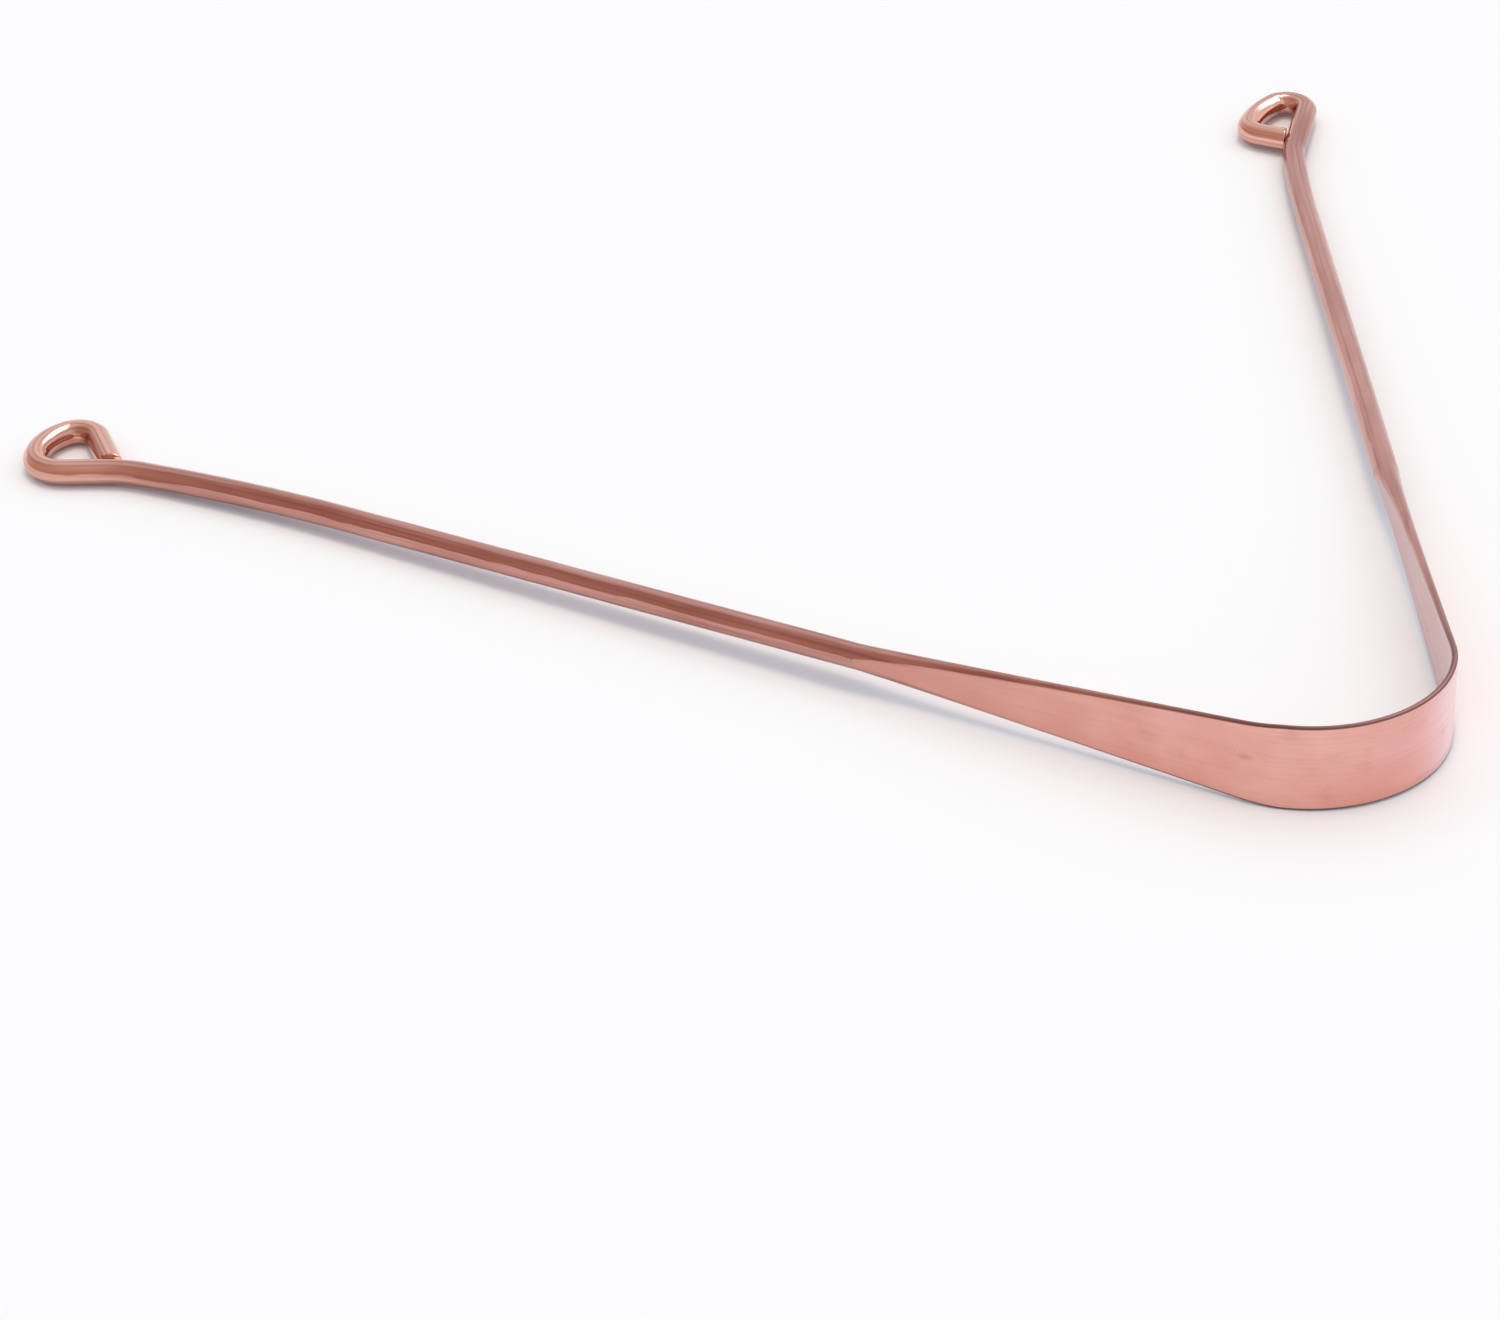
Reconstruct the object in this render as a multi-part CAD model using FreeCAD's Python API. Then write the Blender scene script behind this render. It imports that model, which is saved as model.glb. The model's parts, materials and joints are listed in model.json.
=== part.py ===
import FreeCAD
import Part
import math
import os
from FreeCAD import Vector

# Tongue scraper bent from one copper wire, in millimetres.
# Its middle is rolled flat into a thin springy blade that is bent into a wide V,
# the flat tapers back to round wire along each arm, and each arm ends in a finger loop.
# The names left and right are as seen when the outer face of the blade is towards the viewer.

# Wire and blade
wire_diameter = 2.6
blade_thickness = 0.58
blade_reach = 11.4
bend_radius = 14.5
arm_angle = 29.3
taper_length = 44.6

# Handle rods and finger loops, bent by hand, so that each arm has its own runs, turns and radii
kink_radius = 12.0
loop_end_gap = 0.15
left_straight_length = 58.9
left_flare_length = 23.85
left_flare_angle = 8.33
left_kink_angle = 20.3
left_base_length = 4.25
left_curl_radius = 3.1
left_curl_angle = 88.5
left_crown_radius = 5.95
left_crown_angle = 58.0
left_return_radius = 2.35
left_return_angle = 105.0
right_straight_length = 59.45
right_flare_length = 13.6
right_flare_angle = 4.2
right_kink_angle = 11.2
right_base_length = 9.7
right_curl_radius = 2.2
right_curl_angle = 147.7
right_crown_radius = 12.5
right_crown_angle = 28.0
right_return_radius = 2.1
right_return_angle = 82.3

# Spring line at each end of the bend: a round nose on the arm in a round seat on the blade
nose_radius = 0.6
nose_clearance = 0.05

# Sections of the tapered lengths, as shares of the way along each
blade_end_shares = (0.0, 0.35, 0.7, 1.0)
shoulder_shares = (0.0, 0.2, 0.4, 0.6, 0.8, 0.92, 1.0)
last_flat_share = 0.004

# Worked out from the sizes above
wire_radius = wire_diameter / 2
wire_area = math.pi * wire_radius**2
blade_width = blade_thickness + (wire_area - math.pi * blade_thickness**2 / 4) / blade_thickness
half_turn = 90.0 - arm_angle
bend_length = bend_radius * math.radians(half_turn)
taper_end = blade_reach + taper_length
blade_and_taper = ((bend_length, half_turn), (taper_end - bend_length, 0.0))

UP = Vector(0, 0, 1)
SIDES = {"left": -1, "right": 1}
ARMS = {
    "left": {
        "straight_length": left_straight_length,
        "flare_length": left_flare_length,
        "flare_angle": left_flare_angle,
        "kink_angle": left_kink_angle,
        "base_length": left_base_length,
        "curl_radius": left_curl_radius,
        "curl_angle": left_curl_angle,
        "crown_radius": left_crown_radius,
        "crown_angle": left_crown_angle,
        "return_radius": left_return_radius,
        "return_angle": left_return_angle,
    },
    "right": {
        "straight_length": right_straight_length,
        "flare_length": right_flare_length,
        "flare_angle": right_flare_angle,
        "kink_angle": right_kink_angle,
        "base_length": right_base_length,
        "curl_radius": right_curl_radius,
        "curl_angle": right_curl_angle,
        "crown_radius": right_crown_radius,
        "crown_angle": right_crown_angle,
        "return_radius": right_return_radius,
        "return_angle": right_return_angle,
    },
}


def direction(angle):
    """Unit vector in the plane of the wire, at an angle in degrees from +X."""
    return Vector(math.cos(math.radians(angle)), math.sin(math.radians(angle)), 0)


def advance(pose, length, turn):
    """Follow the wire's centre for a length that turns evenly, and return the new point and heading."""
    point, heading = pose
    chord = length
    if turn:
        half = math.radians(turn) / 2
        chord = length * math.sin(half) / half
    return point + direction(heading + turn / 2) * chord, heading + turn


def pose_along(side, distance):
    """Point and heading at a distance along the strip from the tip of the bend."""
    pose = (Vector(), 90.0 * side)
    remaining = distance
    for length, turn in blade_and_taper:
        step = min(length, remaining)
        pose = advance(pose, step, side * turn * step / length)
        remaining = remaining - step
    return pose


def round_wire(pose, runs):
    """Round wire bent along straight runs and arcs, and the pose at its far end."""
    section = Part.Wire(Part.makeCircle(wire_radius, pose[0], direction(pose[1])))
    edges = []
    for length, turn in runs:
        middle = advance(pose, length / 2, turn / 2)
        end = advance(pose, length, turn)
        if turn:
            edges.append(Part.Arc(pose[0], middle[0], end[0]).toShape())
        else:
            edges.append(Part.LineSegment(pose[0], end[0]).toShape())
        pose = end
    return Part.Wire(edges).makePipeShell([section], True, False), pose


def strip_width(distance):
    """Width of the rolled strip at a distance from the tip: full, then narrowing evenly to the wire."""
    share = min(max((abs(distance) - blade_reach) / taper_length, 0.0), 1.0 - last_flat_share)
    return blade_width + (wire_diameter - blade_width) * share


def strip_thickness(width):
    """Thickness that keeps the area of the round wire in a flat section with rounded edges."""
    corner = 1.0 - math.pi / 4
    return (width - math.sqrt(width**2 - 4 * corner * wire_area)) / (2 * corner)


def strip_section(pose, width):
    """Outline across the strip: two flats and two half-round edges, square to the wire."""
    point, heading = pose
    half_thickness = strip_thickness(width) / 2
    across = direction(heading - 90.0)
    out = across * half_thickness
    top = UP * (width / 2 - half_thickness)
    crown = UP * (width / 2)
    outer_low, outer_high = point + out - top, point + out + top
    inner_high, inner_low = point - out + top, point - out - top
    edges = [
        Part.LineSegment(outer_low, outer_high).toShape(),
        Part.Arc(outer_high, point + crown, inner_high).toShape(),
        Part.LineSegment(inner_high, inner_low).toShape(),
        Part.Arc(inner_low, point - crown, outer_low).toShape(),
    ]
    return Part.Wire(edges)


def hinge_round(side, radius):
    """Upright round about the spring line, taller than the strip."""
    centre = pose_along(side, bend_length)[0]
    return Part.makeCylinder(radius, 2 * blade_width, centre - UP * blade_width, UP)


def make_blade():
    """Thin strip round the bend, full width in the middle and just starting to narrow at its ends."""
    bend_centre = Vector(-bend_radius, 0, 0)
    reach_turn = math.degrees(blade_reach / bend_radius)
    start = strip_section(pose_along(SIDES["left"], blade_reach), blade_width)
    blade = Part.Face(start).revolve(bend_centre, UP, 2 * reach_turn)
    for side in SIDES.values():
        stations = [blade_reach + (bend_length - blade_reach) * share for share in blade_end_shares]
        sections = [strip_section(pose_along(side, s), strip_width(s)) for s in stations]
        blade = blade.fuse(Part.makeLoft(sections, True, False))
    for side in SIDES.values():
        blade = blade.cut(hinge_round(side, nose_radius + nose_clearance))
    return blade.removeSplitter()


def make_shoulder(side):
    """Tapered strip from the spring line to the round wire, with a round nose at the spring line."""
    stations = [bend_length + (taper_end - bend_length) * share for share in shoulder_shares]
    sections = [strip_section(pose_along(side, s), strip_width(s)) for s in stations]
    strip = Part.makeLoft(sections, True, False)
    back = direction(pose_along(side, bend_length)[1]) * -nose_radius
    nose = Part.Face(sections[0]).extrude(back).common(hinge_round(side, nose_radius))
    return strip.fuse(nose).removeSplitter()


def make_rod(side, arm):
    """Round wire of the handle, from the end of the taper through the flare, and the pose at its end."""
    runs = ((arm["straight_length"], 0.0), (arm["flare_length"], -side * arm["flare_angle"]))
    return round_wire(pose_along(side, taper_end), runs)


def make_loop(side, arm, pose):
    """Finger loop: a small outward kink, a straight base, a curl round an easy crown and back,
    and a cut end against the base."""
    kink = (kink_radius * math.radians(arm["kink_angle"]), -side * arm["kink_angle"])
    kinked, base_pose = round_wire(pose, (kink,))
    curl = (arm["curl_radius"] * math.radians(arm["curl_angle"]), side * arm["curl_angle"])
    crown = (arm["crown_radius"] * math.radians(arm["crown_angle"]), side * arm["crown_angle"])
    back = (arm["return_radius"] * math.radians(arm["return_angle"]), side * arm["return_angle"])
    hoop, end_pose = round_wire(base_pose, ((arm["base_length"], 0.0), curl, crown, back))
    # The last straight length is cut off level with the side of the base, just clear of it
    inward = direction(base_pose[1] + side * 90.0)
    end_heading = direction(end_pose[1])
    stop = base_pose[0] + inward * (wire_radius + loop_end_gap)
    approach = -end_heading.dot(inward)
    to_stop = (end_pose[0] - stop).dot(inward) / approach
    overrun = wire_diameter / approach
    tail = Part.makeCylinder(wire_radius, to_stop + overrun, end_pose[0], end_heading)
    cut_size = to_stop + overrun + wire_diameter
    cut_face = Part.makeCircle(cut_size, end_pose[0] + end_heading * to_stop, inward)
    cut_block = Part.Face(Part.Wire(cut_face)).extrude(-inward * cut_size)
    return kinked.fuse([hoop, tail.cut(cut_block)]).removeSplitter()


def lay_down(shapes):
    """Tilt the wire's plane so that the blade's lower edge and the loops lie on one level, z = 0,
    with the origin at the middle of the ground that the scraper covers."""
    flat = Part.Compound(list(shapes.values())).optimalBoundingBox(False, False)
    far_reach = -flat.XMin - wire_radius
    blade_sag = bend_radius * (1.0 - math.cos(blade_reach / bend_radius))
    run = far_reach - blade_sag
    slope = math.atan2(blade_width / 2, run)
    tilt = slope - math.asin(wire_radius / math.hypot(run, blade_width / 2))
    turned = FreeCAD.Placement(Vector(), FreeCAD.Rotation(Vector(0, 1, 0), -math.degrees(tilt)))
    for shape in shapes.values():
        shape.rotate(Vector(), Vector(0, 1, 0), -math.degrees(tilt))
    box = Part.Compound(list(shapes.values())).optimalBoundingBox(False, False)
    middle = Vector((box.XMin + box.XMax) / 2, (box.YMin + box.YMax) / 2, box.ZMin)
    for shape in shapes.values():
        shape.translate(-middle)
    print("size", round(box.XLength, 3), round(box.YLength, 3), round(box.ZLength, 3))
    for name, side in SIDES.items():
        line = turned.multVec(pose_along(side, bend_length)[0]) - middle
        axis = turned.multVec(UP * side)
        print(name, "spring line at", [round(v, 4) for v in line], "along", [round(v, 6) for v in axis])


shapes = {"scraping_blade": make_blade()}
for name, side in SIDES.items():
    shapes[name + "_shoulder"] = make_shoulder(side)
    shapes[name + "_handle_rod"], rod_end = make_rod(side, ARMS[name])
    shapes[name + "_finger_loop"] = make_loop(side, ARMS[name], rod_end)
lay_down(shapes)

os.makedirs("parts", exist_ok=True)
for name, shape in shapes.items():
    print(name, "valid", shape.isValid(), "solids", len(shape.Solids), "volume", round(shape.Volume, 3))
    shape.exportStep("parts/" + name + ".step")
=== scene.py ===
# %% [markdown]
# # A copper tongue scraper
# The real one is a single length of copper wire. Its middle is rolled flat into a thin blade and
# bent into a wide V, and each end is curled into a small finger loop. This lesson draws that wire
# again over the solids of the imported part, one length at a time, so that the springy strip can bend
# where the solids have a hinge. Then it gives the wire its two copper finishes, a white table and
# a soft light.

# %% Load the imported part
import json
import math

import bmesh
import bpy
from mathutils import Matrix, Vector
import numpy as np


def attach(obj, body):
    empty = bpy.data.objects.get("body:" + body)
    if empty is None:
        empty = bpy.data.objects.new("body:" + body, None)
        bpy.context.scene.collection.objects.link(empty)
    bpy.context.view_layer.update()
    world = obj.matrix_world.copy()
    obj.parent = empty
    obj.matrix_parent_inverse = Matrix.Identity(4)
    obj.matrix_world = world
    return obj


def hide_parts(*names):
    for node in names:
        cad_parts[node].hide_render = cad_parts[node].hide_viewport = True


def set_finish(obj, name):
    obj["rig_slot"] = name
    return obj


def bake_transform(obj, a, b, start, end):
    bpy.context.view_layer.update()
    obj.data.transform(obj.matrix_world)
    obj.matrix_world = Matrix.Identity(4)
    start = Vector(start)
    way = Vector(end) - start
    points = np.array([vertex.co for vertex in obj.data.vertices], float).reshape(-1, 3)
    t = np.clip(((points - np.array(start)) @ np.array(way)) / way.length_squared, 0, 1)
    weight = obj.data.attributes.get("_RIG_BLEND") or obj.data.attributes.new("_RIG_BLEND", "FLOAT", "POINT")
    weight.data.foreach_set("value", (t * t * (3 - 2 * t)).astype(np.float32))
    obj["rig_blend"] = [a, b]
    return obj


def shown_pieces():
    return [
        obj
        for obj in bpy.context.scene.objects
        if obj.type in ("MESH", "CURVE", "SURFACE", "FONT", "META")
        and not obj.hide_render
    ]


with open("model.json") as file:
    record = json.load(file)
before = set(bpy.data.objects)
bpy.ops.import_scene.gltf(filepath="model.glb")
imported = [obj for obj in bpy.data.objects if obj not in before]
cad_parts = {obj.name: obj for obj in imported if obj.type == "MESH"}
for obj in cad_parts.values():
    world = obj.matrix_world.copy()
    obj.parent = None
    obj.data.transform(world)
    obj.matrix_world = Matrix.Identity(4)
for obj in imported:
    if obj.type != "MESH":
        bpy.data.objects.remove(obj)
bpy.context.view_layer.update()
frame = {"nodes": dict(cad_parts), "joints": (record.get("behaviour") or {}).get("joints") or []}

print("CAD nodes:", ", ".join(sorted(frame["nodes"])))

# %% [markdown]
# ## The sizes of the wire
# The lengths are in millimetres and the bends in degrees, as a wire bender would note them down.
# They could be measured off the solids, but a bender works from runs and turns, and so do the
# operators below. The two loops were bent by hand and differ a little, so each arm has its own row.

# %% Sizes
wire_diameter = 2.6
blade_thickness = 0.58
blade_reach = 11.4
bend_radius = 14.5
half_turn = math.radians(60.7)
taper_length = 44.6
kink_radius = 12.0
loop_end_gap = 0.05

wire_radius = wire_diameter / 2
wire_area = math.pi * wire_radius**2
blade_width = blade_thickness + (wire_area - math.pi * blade_thickness**2 / 4) / blade_thickness
bend_length = bend_radius * half_turn
taper_end = blade_reach + taper_length

SIDES = {"left": -1, "right": 1}
ARMS = {
    "left": {"straight": 58.9, "flare": (23.85, 8.33), "kink": 20.3, "base": 4.25,
             "bends": ((3.1, 88.5), (5.95, 58.0), (2.35, 105.0))},
    "right": {"straight": 59.45, "flare": (13.6, 4.2), "kink": 11.2, "base": 9.7,
              "bends": ((2.2, 147.7), (12.5, 28.0), (2.1, 82.3))},
}
print(f"blade {blade_width:.2f} mm wide, {blade_thickness} mm thick; round wire from {taper_end:.1f} mm on")

# %% [markdown]
# ## How the wire lies
# The pieces are drawn flat, with the tip of the bend at zero and the arms pointing back, because
# bends are simplest about an upright axis. The real scraper lies with the blade's lower edge and
# its loops on the table, which tips the wire a little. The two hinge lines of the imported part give
# that tilt and place exactly, so one matrix made from them lays every piece down at the end.

# %% The place of the wire
springs = {joint["child"]: joint for joint in frame["joints"]}
left_line = Vector(springs["left_arm"]["pos_m"])
right_line = Vector(springs["right_arm"]["pos_m"])
up_axis = Vector(springs["right_arm"]["axis"]).normalized()
side_axis = (right_line - left_line).normalized()
front_axis = side_axis.cross(up_axis)
MM = 0.001
bend_tip = (left_line + right_line) / 2 + front_axis * bend_radius * (1 - math.cos(half_turn)) * MM
turned = Matrix((front_axis, side_axis, up_axis)).transposed().to_4x4()
LAY_DOWN = Matrix.Translation(bend_tip) @ turned @ Matrix.Scale(MM, 4)
UP = Vector((0, 0, 1))
print("tip of the bend at", [round(v, 5) for v in bend_tip])


# %% [markdown]
# ## Following the wire
# A pose is a point on the wire's centre line with the direction in which it runs on. Every run is
# either straight or a part of a circle, so the next pose needs only a length and a turn.

# %% Poses along the wire
def facing(heading):
    return Vector((math.cos(heading), math.sin(heading), 0))


def onward(pose, length, turn):
    """The pose after a length that turns evenly, in radians."""
    point, heading = pose
    chord = length * math.sin(turn / 2) / (turn / 2) if turn else length
    return point + facing(heading + turn / 2) * chord, heading + turn


def strip_pose(side, distance):
    """The pose at a distance along the strip from the tip of the bend."""
    round_part = min(distance, bend_length)
    pose = onward((Vector(), side * math.pi / 2), round_part, side * round_part / bend_radius)
    return onward(pose, distance - round_part, 0.0)


def seat(pose, side):
    """Matrix of a cross-section: x out of the bend, y up, z along the wire."""
    point, heading = pose
    out = facing(heading - side * math.pi / 2)
    return Matrix.Translation(point) @ Matrix((out, UP, facing(heading))).transposed().to_4x4()


print("the strip turns straight", [round(v, 2) for v in strip_pose(1, bend_length)[0]], "from the tip")


# %% [markdown]
# ## One helper to finish a length of wire
# Each length becomes a closed mesh: its open ends are filled and the rims of those ends are kept
# sharp, so that the smooth shading of the sides runs straight on into the next length and no seam
# shows. The attribute "unbent" keeps where each point would be on the straight wire, in
# millimetres, so that a finish can follow the wire round every bend.

# %% Finish and place a length
def rim_edges(bm):
    return [edge for edge in bm.edges if edge.is_boundary]


def finish_length(bm, name, slot):
    """Close, lay down and smooth a length of wire, and make it the piece that stands for its node."""
    rims = rim_edges(bm)
    bmesh.ops.holes_fill(bm, edges=rims)
    for edge in rims:
        edge.smooth = False
    for face in bm.faces:
        face.smooth = True
    bmesh.ops.transform(bm, matrix=LAY_DOWN, verts=bm.verts)
    bmesh.ops.recalc_face_normals(bm, faces=bm.faces)
    mesh = bpy.data.meshes.new(name)
    bm.to_mesh(mesh)
    bm.free()
    piece = bpy.data.objects.new("copper_" + name, mesh)
    bpy.context.scene.collection.objects.link(piece)
    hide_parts(name)
    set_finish(piece, slot)
    print(piece.name, "has", len(mesh.polygons), "faces")
    return piece


print("each length is drawn in millimetres and laid down at", MM, "of that")

# %% [markdown]
# ## The rolled section
# Rolling squeezes the round wire flat without losing copper, so the strip has two flats, two
# half-round rims and the same area all the way. A scaled circle would give an oval, so the circle's
# corners are shared out instead: some to each rim and some to each flat. Each corner remembers its
# share, and the same corners can then be set out again for any width along the taper.

# %% The corners of the section
rim_steps = 12
flat_shares = (0.97, 0.75, 0.4, 0.0, -0.4, -0.75, -0.97)
flat_tolerance = 0.01
last_flat_share = 0.002
dull_share = 0.6


def section_corners():
    """For each corner: its share of the thickness, of the flat's height and of the rim's height."""
    angles = [math.pi * step / rim_steps for step in range(rim_steps + 1)]
    top = [(math.cos(angle), 1.0, math.sin(angle)) for angle in angles]
    inner = [(-1.0, share, 0.0) for share in flat_shares]
    bottom = [(-across, -flat, -rim) for across, flat, rim in top]
    outer = [(1.0, -share, 0.0) for share in flat_shares]
    return top + inner + bottom + outer


def strip_size(distance):
    """Width and thickness of the strip: full at the blade, then narrowing evenly to round wire."""
    share = min(max((distance - blade_reach) / taper_length, 0.0), 1 - last_flat_share)
    width = blade_width + (wire_diameter - blade_width) * share
    corner = 1 - math.pi / 4
    thickness = (width - math.sqrt(width**2 - 4 * corner * wire_area)) / (2 * corner)
    return width, thickness


def start_strip():
    """A circle with as many corners as the section, and the attributes that a finish will read."""
    bm = bmesh.new()
    bm.verts.layers.float_vector.new("unbent")
    bm.verts.layers.float_vector.new("corner")
    bm.verts.layers.float.new("rolled")
    bm.verts.layers.float.new("dulled")
    corners = section_corners()
    circle = bmesh.ops.create_circle(bm, cap_ends=False, radius=wire_radius, segments=len(corners))
    corner = bm.verts.layers.float_vector["corner"]
    for vert, shares in zip(circle["verts"], corners):
        vert[corner] = shares
    return bm


def set_section(bm, verts, distance, side):
    """Set the corners out for the strip's size at this distance."""
    corner = bm.verts.layers.float_vector["corner"]
    unbent = bm.verts.layers.float_vector["unbent"]
    rolled = bm.verts.layers.float["rolled"]
    dulled = bm.verts.layers.float["dulled"]
    width, thickness = strip_size(distance)
    place = seat(strip_pose(side, distance), side)
    for vert in verts:
        across, flat, rim = vert[corner]
        out = across * thickness / 2
        high = flat * (width - thickness) / 2 + rim * thickness / 2
        vert.co = place @ Vector((out, high, 0))
        vert[unbent] = (side * distance, out, high)
        vert[rolled] = 1.0 if abs(rim) < flat_tolerance else 0.0
        # full where the strip is thinnest, and gone where it is thicker by the dull share
        vert[dulled] = max(0.0, 1.0 - (thickness / blade_thickness - 1.0) / dull_share)


def new_ring(grown):
    """The corners and edges of the ring that an operator has just made."""
    verts = [item for item in grown if isinstance(item, bmesh.types.BMVert)]
    inside = set(verts)
    edges = [item for item in grown
             if isinstance(item, bmesh.types.BMEdge) and inside.issuperset(item.verts)]
    return verts, edges


print("section has", len(section_corners()), "corners; at 30 mm it is %.2f by %.2f mm" % strip_size(30.0))

# %% [markdown]
# ## The scraping blade
# This is the working edge: thin springy strip of one width round the tip of the bend. It is a part
# of a ring, so spinning the section about the middle of the bend makes it exactly. A spin leaves no
# trace of where each ring came from, so it is done a degree at a time to number the rings for the
# finish. It stops short of the hinge lines, because the metal there has to bend.

# %% Spin the blade
blade_end = 8.0
blade_steps = 64
step_turn = 2 * blade_end / bend_radius / blade_steps
bm = start_strip()
unbent = bm.verts.layers.float_vector["unbent"]
set_section(bm, bm.verts, blade_end, SIDES["left"])
ring = list(bm.edges)
bend_middle = Vector((-bend_radius, 0, 0))
for step in range(blade_steps):
    spun = bmesh.ops.spin(bm, geom=ring, cent=bend_middle, axis=UP, angle=step_turn, steps=1)
    verts, ring = new_ring(spun["geom_last"])
    for vert in verts:
        vert[unbent].x += step_turn * bend_radius
blade = finish_length(bm, "scraping_blade", "rolled_copper")
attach(blade, "blade")

# %% [markdown]
# ## The two shoulders
# From the blade the flat narrows until the wire is round again, and its facet runs out in a point.
# The section changes all the way, so each ring is extruded and its corners are set out anew. These
# are the lengths that spring when the arms are squeezed. The blend lets them bend smoothly from
# inside the bend to well past the hinge line, as one unbroken strip does.

# %% Extrude the shoulders
shoulder_step = 0.4
spring_reach = 27.0
for name, side in SIDES.items():
    bm = start_strip()
    set_section(bm, bm.verts, blade_end, side)
    ring = list(bm.edges)
    steps = round((taper_end - blade_end) / shoulder_step)
    for step in range(steps):
        grown = bmesh.ops.extrude_edge_only(bm, edges=ring)
        verts, ring = new_ring(grown["geom"])
        set_section(bm, verts, blade_end + (taper_end - blade_end) * (step + 1) / steps, side)
    shoulder = finish_length(bm, name + "_shoulder", "rolled_copper")
    start = LAY_DOWN @ strip_pose(side, blade_end)[0]
    end = LAY_DOWN @ strip_pose(side, spring_reach)[0]
    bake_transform(shoulder, "blade", name + "_arm", start=start, end=end)


# %% [markdown]
# ## Drawing round wire
# The handles and loops are plain round wire. A curve with a bevel could follow them, but its
# section twists and its ends stay open. Here the wire grows from a circle as it does in a bender:
# extruded for a straight run and spun about the middle of each bend, in steps short enough to look
# round.

# %% Draw a run of wire
wire_corners = 48


def start_wire(pose, side, distance):
    """A circle across the wire at this pose."""
    bm = bmesh.new()
    unbent = bm.verts.layers.float_vector.new("unbent")
    place = seat(pose, side)
    bmesh.ops.create_circle(bm, cap_ends=False, radius=wire_radius, segments=wire_corners, matrix=place)
    back = place.inverted()
    for vert in bm.verts:
        flat = back @ vert.co
        vert[unbent] = (side * distance, flat.x, flat.y)
    return bm, list(bm.edges)


def draw_run(bm, ring, pose, side, length, turn, steps):
    """Draw the wire on by one run, and give back its last ring and its pose."""
    unbent = bm.verts.layers.float_vector["unbent"]
    for step in range(steps):
        point, heading = pose
        pose = onward(pose, length / steps, turn / steps)
        if turn:
            middle = point + facing(heading + math.copysign(math.pi / 2, turn)) * (length / abs(turn))
            grown = bmesh.ops.spin(bm, geom=ring, cent=middle, axis=UP, angle=turn / steps, steps=1)
            verts, ring = new_ring(grown["geom_last"])
        else:
            grown = bmesh.ops.extrude_edge_only(bm, edges=ring)
            verts, ring = new_ring(grown["geom"])
            bmesh.ops.translate(bm, verts=verts, vec=pose[0] - point)
        for vert in verts:
            vert[unbent].x += side * length / steps
    return ring, pose


print("round wire is drawn with", wire_corners, "corners")


# %% [markdown]
# ## The handle rods
# Each handle is a straight run of round wire that flares gently outward towards its loop. The long
# straight needs only a ring every few millimetres, and the flare enough of them to read as one
# easy curve.

# %% Draw the rods
straight_steps = 24
flare_steps = 24
rod_ends = {}
for name, side in SIDES.items():
    arm = ARMS[name]
    pose = strip_pose(side, taper_end)
    bm, ring = start_wire(pose, side, taper_end)
    ring, pose = draw_run(bm, ring, pose, side, arm["straight"], 0.0, straight_steps)
    flare, flare_turn = arm["flare"]
    turn = -side * math.radians(flare_turn)
    ring, pose = draw_run(bm, ring, pose, side, flare, turn, flare_steps)
    rod_ends[name] = pose, taper_end + arm["straight"] + flare
    rod = finish_length(bm, name + "_handle_rod", "drawn_copper")
    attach(rod, name + "_arm")

# %% [markdown]
# ## The cut ends and the tool nicks
# A loop's end is cut off level with the side of the wire it meets, with a hair of daylight between.
# A boolean would cut it too, but a bisect of the last run alone is cleaner and leaves the rest of
# the loop whole. A small bevel takes the edge off the cut. The bending tool leaves a few shallow
# nicks, and as real dents they are pressed into the mesh, not painted on.

# %% Cut and nick
loop_step = 0.2
cut_bevel = 0.1
cut_tolerance = 0.001
nick_radius = 0.55
nick_depth = 0.07


def steps_for(length):
    return max(2, round(length / loop_step))


def cut_tail(bm, ring, pose, base, side):
    """Draw the last straight run past the base, and cut it level with the base's side."""
    inward = facing(base[1] + side * math.pi / 2)
    stop = base[0] + inward * (wire_radius + loop_end_gap)
    reach = (pose[0] - stop).dot(inward) / -facing(pose[1]).dot(inward)
    known = set(bm.verts)
    draw_run(bm, ring, pose, side, reach + wire_diameter, 0.0, steps_for(reach))
    tail_verts = [vert for vert in bm.verts if vert not in known]
    tail_faces = {face for vert in tail_verts for face in vert.link_faces}
    tail_edges = {edge for vert in tail_verts for edge in vert.link_edges}
    tail = tail_verts + list(tail_edges) + list(tail_faces)
    bmesh.ops.bisect_plane(bm, geom=tail, plane_co=stop, plane_no=-inward, clear_outer=True)
    cut = [edge for edge in rim_edges(bm)
           if abs((edge.verts[0].co - stop).dot(inward)) < cut_tolerance]
    end_face = bmesh.ops.edgeloop_fill(bm, edges=cut)["faces"]
    bmesh.ops.bevel(bm, geom=list(end_face[0].edges), offset=cut_bevel, segments=3, profile=0.5,
                    affect="EDGES", material=-1)


def press_nick(bm, middle):
    """Press a shallow round dent in along the normals, about a place on the unbent wire."""
    unbent = bm.verts.layers.float_vector["unbent"]
    for vert in bm.verts:
        far = (vert[unbent] - middle).length / nick_radius
        if far < 1:
            vert.co -= vert.normal * nick_depth * (1 - far**2) ** 2


print("loops get a ring every", loop_step, "mm and nicks", nick_depth, "mm deep")

# %% [markdown]
# ## The finger loops
# Each end kinks outward a little, runs on straight and is bent back on itself in three radii: a
# curl, an easy crown and a tighter return. The same runs and turns as on the bench draw it here. The
# nicks are placed by their share of the way round the loop and their angle round the wire.

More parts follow.
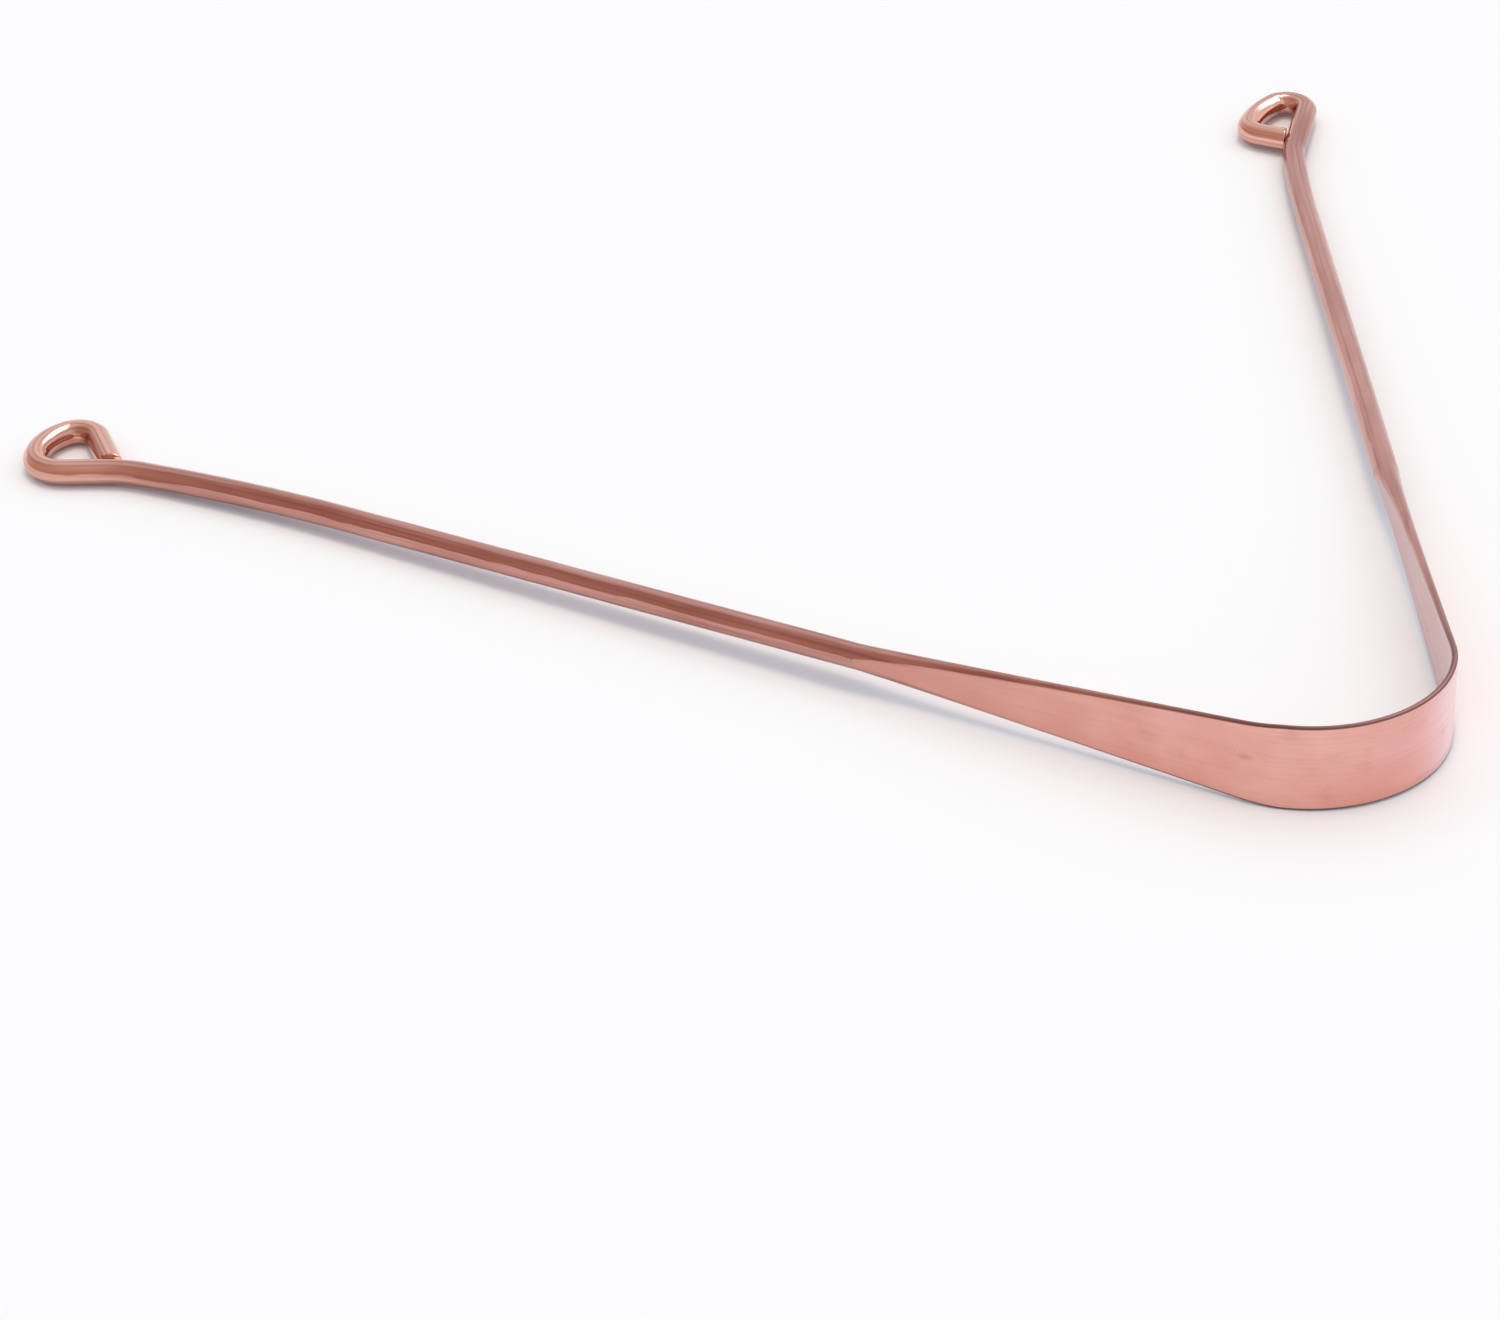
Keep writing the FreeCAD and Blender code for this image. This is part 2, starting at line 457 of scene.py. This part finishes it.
# %% Bend the loops
NICKS = {"left": ((0.28, 2.3), (0.33, 2.75), (0.31, 1.9)), "right": ((0.3, 2.5), (0.36, 2.1))}
for name, side in SIDES.items():
    arm = ARMS[name]
    pose, distance = rod_ends[name]
    bm, ring = start_wire(pose, side, distance)
    kink = math.radians(arm["kink"])
    kink_length = kink_radius * kink
    ring, base = draw_run(bm, ring, pose, side, kink_length, -side * kink, steps_for(kink_length))
    ring, pose = draw_run(bm, ring, base, side, arm["base"], 0.0, steps_for(arm["base"]))
    curl_start = distance + kink_length + arm["base"]
    curl_length = 0.0
    for radius, turn in arm["bends"]:
        angle = math.radians(turn)
        length = radius * angle
        ring, pose = draw_run(bm, ring, pose, side, length, side * angle, steps_for(length))
        curl_length += length
    cut_tail(bm, ring, pose, base, side)
    bm.normal_update()
    for share, round_angle in NICKS[name]:
        out, high = wire_radius * math.cos(round_angle), wire_radius * math.sin(round_angle)
        press_nick(bm, Vector((side * (curl_start + share * curl_length), out, high)))
    loop = finish_length(bm, name + "_finger_loop", "drawn_copper")
    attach(loop, name + "_arm")


# %% [markdown]
# ## Helpers for the finishes
# Colours are written as sRGB hex, as a colour picker shows them, and turned into the linear values
# that shaders use. One small function adds a node with its settings, values and links, so that each
# finish below reads as a list.

# %% Colour and node helpers
def linear(hex_colour):
    parts = [int(hex_colour[i:i + 2], 16) / 255 for i in (1, 3, 5)]
    return [p / 12.92 if p <= 0.04045 else ((p + 0.055) / 1.055) ** 2.4 for p in parts] + [1.0]


def add_node(tree, kind, values=None, links=None, **settings):
    node = tree.nodes.new(kind)
    for name, value in settings.items():
        setattr(node, name, value)
    for name, value in (values or {}).items():
        node.inputs[name].default_value = value
    for name, source in (links or {}).items():
        tree.links.new(source, node.inputs[name])
    return node


def new_finish(name):
    """An empty material with its shader and the wire's own unbent coordinates, in millimetres."""
    finish = bpy.data.materials.new(name)
    finish.use_nodes = True
    tree = finish.node_tree
    wire = add_node(tree, "ShaderNodeAttribute", attribute_name="unbent").outputs["Vector"]
    return finish, tree, tree.nodes["Principled BSDF"], wire


def per_mm(along, across):
    """Noise scale for marks of these sizes in millimetres, along the wire and across it."""
    return (1 / along, 1 / across, 1 / across)


print("the copper's salmon in linear light:", [round(v, 3) for v in linear("#EAB2A6")[:3]])


# %% [markdown]
# ## Drawn copper
# Copper wire is pulled through a die, which leaves it bright with fine lines along its length. Air
# turns it browner in patches, and the loops are a brighter tone than the rods. Pure metal has no
# diffuse colour, so the shader is fully metallic and the tone lies in the base colour. Stretched
# noise along the unbent wire gives the die lines, coarser noise the patches, and slow waves in the
# bump let the reflections waver.

# %% Drawn copper
waves_to_lines = 15.0
line_height = 0.01


def drawn_surface(tree, wire):
    """Colour, roughness and height of the drawn surface."""
    # die lines are about 0.03 mm apart on real wire, drawn at 0.4 mm here so that they show
    line_place = add_node(tree, "ShaderNodeMapping", {"Scale": per_mm(38.0, 0.4)}, {"Vector": wire})
    lines = add_node(tree, "ShaderNodeTexNoise", {"Scale": 1.0, "Detail": 2.0},
                     {"Vector": line_place.outputs[0]})
    patch_place = add_node(tree, "ShaderNodeMapping", {"Scale": per_mm(16.0, 4.0)}, {"Vector": wire})
    patches = add_node(tree, "ShaderNodeTexNoise", {"Scale": 1.0, "Detail": 3.0},
                       {"Vector": patch_place.outputs[0]})
    patch = add_node(tree, "ShaderNodeMapRange", {"From Min": 0.35, "From Max": 0.68},
                     {"Value": patches.outputs["Fac"]})
    tone = add_node(tree, "ShaderNodeMix", {6: linear("#D09C92"), 7: linear("#BC857B")},
                    {0: patch.outputs[0]}, data_type="RGBA")
    # the loops are a brighter tone than the rods, from about 134 mm along the wire on
    along = add_node(tree, "ShaderNodeSeparateXYZ", {}, {0: wire})
    reach = add_node(tree, "ShaderNodeMath", {}, {0: along.outputs["X"]}, operation="ABSOLUTE")
    loop_share = add_node(tree, "ShaderNodeMapRange", {"From Min": 134.0, "From Max": 146.0, "To Max": 0.85},
                      {"Value": reach.outputs[0]}, interpolation_type="SMOOTHSTEP")
    bright = add_node(tree, "ShaderNodeMix", {7: linear("#EEBBA9")},
                      {0: loop_share.outputs[0], 6: tone.outputs[2]}, data_type="RGBA")
    line = add_node(tree, "ShaderNodeMapRange", {"From Min": 0.45, "From Max": 0.68, "To Max": 0.6},
                    {"Value": lines.outputs["Fac"]})
    colour = add_node(tree, "ShaderNodeMix", {7: linear("#9C655B")},
                      {0: line.outputs[0], 6: bright.outputs[2]}, data_type="RGBA")
    rough = add_node(tree, "ShaderNodeMapRange",
                     {"From Min": 0.3, "From Max": 0.7, "To Min": 0.1, "To Max": 0.18},
                     {"Value": lines.outputs["Fac"]})
    # the die and the straightening leave the wire faintly wavy, which makes its reflections waver
    wave_place = add_node(tree, "ShaderNodeMapping", {"Scale": per_mm(6.0, 1.1)}, {"Vector": wire})
    waves = add_node(tree, "ShaderNodeTexNoise", {"Scale": 1.0, "Detail": 1.0},
                     {"Vector": wave_place.outputs[0]})
    height = add_node(tree, "ShaderNodeMath", {1: waves_to_lines},
                      {0: waves.outputs["Fac"], 2: lines.outputs["Fac"]}, operation="MULTIPLY_ADD")
    return colour.outputs[2], rough.outputs[0], height.outputs[0]


drawn_copper, tree, shader, wire = new_finish("drawn copper")
colour, rough, height = drawn_surface(tree, wire)
bump = add_node(tree, "ShaderNodeBump", {"Strength": 1.0, "Distance": line_height * MM}, {"Height": height})
shader.inputs["Metallic"].default_value = 1.0
tree.links.new(colour, shader.inputs["Base Color"])
tree.links.new(rough, shader.inputs["Roughness"])
tree.links.new(bump.outputs[0], shader.inputs["Normal"])
print(drawn_copper.name, "has", len(tree.nodes), "nodes")

# %% [markdown]
# ## Rolled copper
# The flats were pressed between steel rolls. That gives a satin face, salmon rather than brown, in
# soft clouds of tone with faint lines along the strip. A picture could carry all that, but noise in
# the wire's own unbent millimetres follows the bend without a seam. Each layer below is mixed over
# the one before it.

# %% Tone of the rolled faces
rolled_copper, tree, shader, wire = new_finish("rolled copper")
drawn_colour, drawn_rough, drawn_height = drawn_surface(tree, wire)

cloud_place = add_node(tree, "ShaderNodeMapping", {"Scale": per_mm(7.0, 4.5)}, {"Vector": wire})
clouds = add_node(tree, "ShaderNodeTexNoise", {"Scale": 1.0, "Detail": 3.0},
                  {"Vector": cloud_place.outputs[0]})
cloud = add_node(tree, "ShaderNodeMapRange", {"From Min": 0.35, "From Max": 0.66},
                 {"Value": clouds.outputs["Fac"]})
salmon = add_node(tree, "ShaderNodeMix", {6: linear("#EAB2A6"), 7: linear("#E2A498")},
                  {0: cloud.outputs[0]}, data_type="RGBA")

blush_place = add_node(tree, "ShaderNodeMapping",
                       {"Scale": per_mm(21.0, 12.0), "Location": (3.1, 0.0, 1.7)}, {"Vector": wire})
blushes = add_node(tree, "ShaderNodeTexNoise", {"Scale": 1.0, "Detail": 1.0},
                   {"Vector": blush_place.outputs[0]})
blush = add_node(tree, "ShaderNodeMapRange", {"From Min": 0.4, "From Max": 0.7, "To Max": 0.6},
                 {"Value": blushes.outputs["Fac"]})
pinker = add_node(tree, "ShaderNodeMix", {7: linear("#E7ADAC")},
                  {0: blush.outputs[0], 6: salmon.outputs[2]}, data_type="RGBA")

# on the right half of the bend the strip is painted paler, a painted reflection of the pale room, from 1 mm
# off the tip to about 20 mm
along = add_node(tree, "ShaderNodeSeparateXYZ", {}, {0: wire})
reflection_fade_in = add_node(tree, "ShaderNodeMapRange", {"From Min": 1.0, "From Max": 10.0, "To Max": 0.85},
                      {"Value": along.outputs["X"]}, interpolation_type="SMOOTHSTEP")
reflection_fade_out = add_node(tree, "ShaderNodeMapRange", {"From Min": 20.0, "From Max": 11.0},
                    {"Value": along.outputs["X"]}, interpolation_type="SMOOTHSTEP")
painted_reflection = add_node(tree, "ShaderNodeMath", {}, {0: reflection_fade_in.outputs[0], 1: reflection_fade_out.outputs[0]},
                 operation="MULTIPLY")
with_painted_reflection = add_node(tree, "ShaderNodeMix", {7: linear("#F6D8DE")},
                 {0: painted_reflection.outputs[0], 6: pinker.outputs[2]}, data_type="RGBA")

# the flats turn browner where they narrow towards the rods, from 20 mm to the end of the taper
reach = add_node(tree, "ShaderNodeMath", {}, {0: along.outputs["X"]}, operation="ABSOLUTE")
browning = add_node(tree, "ShaderNodeMapRange", {"From Min": 20.0, "From Max": taper_end, "To Max": 0.7},
                    {"Value": reach.outputs[0]})
browner = add_node(tree, "ShaderNodeMix", {7: linear("#C5867A")},
                   {0: browning.outputs[0], 6: with_painted_reflection.outputs[2]}, data_type="RGBA")

# the inner face is painted greyer and more lilac, a painted reflection of the shaded table beside it
inside = add_node(tree, "ShaderNodeMapRange", {"From Min": 0.05, "From Max": -0.05, "To Max": 0.65},
                  {"Value": along.outputs["Y"]})
painted_inner_shade = add_node(tree, "ShaderNodeMix", {7: linear("#C0A6AE")},
                  {0: inside.outputs[0], 6: browner.outputs[2]}, data_type="RGBA")

# roll lines are some 0.1 mm apart, drawn at 0.3 mm so that they show
roll_place = add_node(tree, "ShaderNodeMapping", {"Scale": per_mm(30.0, 0.3)}, {"Vector": wire})
rolls = add_node(tree, "ShaderNodeTexNoise", {"Scale": 1.0, "Detail": 2.0},
                 {"Vector": roll_place.outputs[0]})
roll = add_node(tree, "ShaderNodeMapRange", {"From Min": 0.45, "From Max": 0.75, "To Max": 0.22},
                {"Value": rolls.outputs["Fac"]})
lined = add_node(tree, "ShaderNodeMix", {7: linear("#D3968A")},
                 {0: roll.outputs[0], 6: painted_inner_shade.outputs[2]}, data_type="RGBA")
print("tone of", rolled_copper.name, "takes", len(tree.nodes), "nodes")

# %% [markdown]
# ## Marks of use
# Bare copper shows every touch. Fingers leave dull smudges, a drop has left one small stain, and
# cleaning has left fine scratches. They stay faint, so that the strip still reads as clean metal.

# %% Smudges, stain and scratches
# finger smudges a few millimetres across
smudge_place = add_node(tree, "ShaderNodeMapping",
                        {"Scale": per_mm(4.0, 2.2), "Location": (0.0, 5.2, 2.4)}, {"Vector": wire})
smudges = add_node(tree, "ShaderNodeTexNoise", {"Scale": 1.0, "Detail": 4.0},
                   {"Vector": smudge_place.outputs[0]})
smudge = add_node(tree, "ShaderNodeMapRange", {"From Min": 0.58, "From Max": 0.75, "To Max": 0.35},
                  {"Value": smudges.outputs["Fac"]})
smudged = add_node(tree, "ShaderNodeMix", {7: linear("#CB8F82")},
                   {0: smudge.outputs[0], 6: lined.outputs[2]}, data_type="RGBA")

# the stain is on the outer face, where the left arm leaves the bend, and 2 mm long
stain_place = add_node(tree, "ShaderNodeVectorMath", {1: (14.75, -0.29, -0.6)}, {0: wire}, operation="ADD")
stain_shape = add_node(tree, "ShaderNodeVectorMath", {1: (1 / 1.0, 1 / 0.4, 1 / 0.5)},
                       {0: stain_place.outputs[0]}, operation="MULTIPLY")
stain_far = add_node(tree, "ShaderNodeVectorMath", {}, {0: stain_shape.outputs[0]}, operation="LENGTH")
stain = add_node(tree, "ShaderNodeMapRange", {"From Min": 1.1, "From Max": 0.2, "To Max": 0.38},
                 {"Value": stain_far.outputs["Value"]}, interpolation_type="SMOOTHSTEP")
stained = add_node(tree, "ShaderNodeMix", {7: linear("#AE786C")},
                   {0: stain.outputs[0], 6: smudged.outputs[2]}, data_type="RGBA")

# scratches about 0.1 mm wide and some millimetres long, slanting a little across the strip
slant = math.radians(12)
scratch_place = add_node(tree, "ShaderNodeMapping",
                         {"Scale": per_mm(8.0, 1.4), "Rotation": (0.0, slant, 0.0)}, {"Vector": wire})
scratches = add_node(tree, "ShaderNodeTexNoise", {"Scale": 1.0, "Detail": 0.0},
                     {"Vector": scratch_place.outputs[0]})
ridge = add_node(tree, "ShaderNodeMath", {1: 0.5}, {0: scratches.outputs["Fac"]}, operation="SUBTRACT")
ridge_far = add_node(tree, "ShaderNodeMath", {}, {0: ridge.outputs[0]}, operation="ABSOLUTE")
scratch = add_node(tree, "ShaderNodeMapRange", {"From Min": 0.012, "From Max": 0.0},
                   {"Value": ridge_far.outputs[0]})
few = add_node(tree, "ShaderNodeMath", {}, {0: scratch.outputs[0], 1: smudge.outputs[0]},
               operation="MULTIPLY")
scratched = add_node(tree, "ShaderNodeMix", {7: linear("#F3CBC1")},
                     {0: few.outputs[0], 6: stained.outputs[2]}, data_type="RGBA")
print("with its marks it takes", len(tree.nodes), "nodes")

# %% [markdown]
# ## The rims
# The half-round rims were never touched by the rolls, so they keep the drawn finish, and the
# attribute "rolled" divides the two. That also lets the facet run out into the drawn rod without a
# change of colour. Along the thin blade the rims are rougher and a darker brown, which "dulled" marks.

# %% Rims, and the shader of the rolled copper
roll_height = 0.001
rolled = add_node(tree, "ShaderNodeAttribute", attribute_name="rolled").outputs["Fac"]
face_rough = add_node(tree, "ShaderNodeMapRange",
                      {"From Min": 0.3, "From Max": 0.7, "To Min": 0.2, "To Max": 0.28},
                      {"Value": rolls.outputs["Fac"]})
dulled = add_node(tree, "ShaderNodeAttribute", attribute_name="dulled").outputs["Fac"]
rim_colour = add_node(tree, "ShaderNodeMix", {7: linear("#86605C")}, {0: dulled, 6: drawn_colour},
                      data_type="RGBA")
rim_rough = add_node(tree, "ShaderNodeMix", {3: 0.5}, {0: dulled, 2: drawn_rough})
colour = add_node(tree, "ShaderNodeMix", {},
                  {0: rolled, 6: rim_colour.outputs[2], 7: scratched.outputs[2]}, data_type="RGBA")
rough = add_node(tree, "ShaderNodeMix", {}, {0: rolled, 2: rim_rough.outputs[0], 3: face_rough.outputs[0]})
height = add_node(tree, "ShaderNodeMix", {}, {0: rolled, 2: drawn_height, 3: rolls.outputs["Fac"]})
bump = add_node(tree, "ShaderNodeBump", {"Strength": 1.0, "Distance": roll_height * MM},
                {"Height": height.outputs[0]})
shader.inputs["Metallic"].default_value = 1.0
tree.links.new(colour.outputs[2], shader.inputs["Base Color"])
tree.links.new(rough.outputs[0], shader.inputs["Roughness"])
tree.links.new(bump.outputs[0], shader.inputs["Normal"])
print(rolled_copper.name, "has", len(tree.nodes), "nodes")

# %% [markdown]
# ## Putting the finishes on
# Every piece already has the slot of its finish, so one short loop gives each its material.

# %% Put the finishes on
FINISHES = {"rolled_copper": rolled_copper, "drawn_copper": drawn_copper}
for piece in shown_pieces():
    piece.data.materials.append(FINISHES[piece["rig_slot"]])

# %% [markdown]
# ## The table
# The scraper lies on a plain white table. A large flat sheet is enough, since nothing of its edge
# is in view. It is matt, so that it shows only the soft shadows, and the copper mirrors its white.

# %% White table
table_half_width = 4.0
bm = bmesh.new()
bmesh.ops.create_grid(bm, x_segments=1, y_segments=1, size=table_half_width)
mesh = bpy.data.meshes.new("table")
bm.to_mesh(mesh)
bm.free()
table = bpy.data.objects.new("table", mesh)
bpy.context.scene.collection.objects.link(table)
table_paint = bpy.data.materials.new("matt white paint")
table_paint.use_nodes = True
paint = table_paint.node_tree.nodes["Principled BSDF"]
paint.inputs["Base Color"].default_value = linear("#FBFBFB")
paint.inputs["Roughness"].default_value = 1.0
paint.inputs["Specular IOR Level"].default_value = 0.0
mesh.materials.append(table_paint)
print("table is", 2 * table_half_width, "m wide")

# %% [markdown]
# ## The camera
# The camera looks down on the scraper from a third of the way up, from beside the left arm, through
# a long lens. Its place was found by matching the outline of the V to the picture.

# %% Camera
view_azimuth = math.radians(57.70)
view_elevation = math.radians(32.956)
view_distance = 0.53389
aim = Vector((bend_tip.x - 0.052635, bend_tip.y - 0.03884, 0))
right = Vector((math.cos(view_azimuth), math.sin(view_azimuth), 0))
away = Vector((-math.sin(view_azimuth), math.cos(view_azimuth), 0))
towards = -away * math.cos(view_elevation) + UP * math.sin(view_elevation)
lens = bpy.data.cameras.new("long lens")
lens.sensor_fit = "HORIZONTAL"
lens.sensor_width = 36.0
lens.lens = 129.78
lens.clip_start = 0.01
camera = bpy.data.objects.new("camera", lens)
camera.location = aim + towards * view_distance
camera.rotation_mode = "QUATERNION"
camera.rotation_quaternion = (-towards).to_track_quat("-Z", "Y")
bpy.context.scene.collection.objects.link(camera)
bpy.context.scene.camera = camera
print("camera at", [round(v, 4) for v in camera.location])

# %% [markdown]
# ## The light
# Bright metal shows its surroundings and a matt table does not, so each has lights of its own. The
# copper mirrors a large window high at the back right, which makes the bright patches on the loops.
# The table is lit by a lamp straight overhead, which lays the shadows just under the arms, and by a
# pale ceiling that softens them. The lamp is warm and the rest of the room's light cool: together
# they keep the table white, and the shadows of the lamp turn cool. Lamp and ceiling stay out of
# mirror reflections, where bare wire would show them on every bend.

# %% Window, lamp and ceiling
light_distance = 3.0


def soft_light(name, direction, width, height, energy, colour):
    """A rectangular light, in metres and watts, turned to the scraper."""
    light = bpy.data.lights.new(name, "AREA")
    light.shape = "RECTANGLE"
    light.size, light.size_y = width, height
    light.energy = energy
    light.color = colour
    holder = bpy.data.objects.new(name, light)
    holder.location = direction.normalized() * light_distance
    holder.rotation_mode = "QUATERNION"
    holder.rotation_quaternion = (-direction).to_track_quat("-Z", "Y")
    bpy.context.scene.collection.objects.link(holder)
    print(name, "at", [round(v, 2) for v in holder.location])
    return holder


back_right = right * 0.45 + away * 0.45 + UP * 0.77
window = soft_light("window", back_right, width=2.3, height=1.9, energy=48.0, colour=(1.0, 1.0, 0.97))
window.visible_diffuse = False
lamp = soft_light("overhead lamp", UP, width=1.0, height=1.0, energy=19.0, colour=(1.28, 1.0, 0.7))
lamp.visible_glossy = False
ceiling = soft_light("pale ceiling", UP, width=7.0, height=7.0, energy=69.0, colour=(1.0, 1.0, 1.0))
ceiling.visible_glossy = False

# %% [markdown]
# ## The room
# In mirror reflections the room is a world shader that looks at direction alone: dim and warm at the
# front left, which is the dark band along the left rod, pale at the back right, and white at the
# horizon, where the table ends. An image of a real room would mirror more detail than soft copper can
# show. For all other rays the room is one plain cool tone. The Light Path node tells the two apart.
# It knows only rays that bounced, so the world is not sampled as if it were a lamp.

# %% Room
dim_front = (0.57, 0.4, 0.34, 1.0)
pale_back = (0.88, 0.9, 0.93, 1.0)
white_horizon = (0.9, 0.93, 0.98, 1.0)
plain_cool = (0.48, 0.54, 0.62, 1.0)
pale_side = right * 0.75 + away * 0.55 - UP * 0.1
room = bpy.data.worlds.new("pale room")
room.use_nodes = True
tree = room.node_tree
direction = add_node(tree, "ShaderNodeTexCoord").outputs["Generated"]
facing_pale = add_node(tree, "ShaderNodeVectorMath", {1: pale_side}, {0: direction},
                       operation="DOT_PRODUCT")
pale = add_node(tree, "ShaderNodeMapRange", {"From Min": -0.75, "From Max": 0.35},
                {"Value": facing_pale.outputs["Value"]}, interpolation_type="SMOOTHSTEP")
walls = add_node(tree, "ShaderNodeMix", {6: dim_front, 7: pale_back}, {0: pale.outputs[0]},
                 data_type="RGBA")
facing_up = add_node(tree, "ShaderNodeVectorMath", {1: UP}, {0: direction}, operation="DOT_PRODUCT")
low = add_node(tree, "ShaderNodeMapRange", {"From Min": 0.06, "From Max": -0.04},
               {"Value": facing_up.outputs["Value"]}, interpolation_type="SMOOTHSTEP")
horizon = add_node(tree, "ShaderNodeMix", {7: white_horizon}, {0: low.outputs[0], 6: walls.outputs[2]},
                   data_type="RGBA")
mirrored = add_node(tree, "ShaderNodeLightPath").outputs["Is Glossy Ray"]
light = add_node(tree, "ShaderNodeMix", {6: plain_cool}, {0: mirrored, 7: horizon.outputs[2]},
                 data_type="RGBA")
tree.links.new(light.outputs[2], tree.nodes["Background"].inputs["Color"])
room.cycles.sampling_method = "NONE"
bpy.context.scene.world = room
bpy.context.scene.view_settings.view_transform = "Standard"
print(room.name, "has", len(tree.nodes), "nodes")
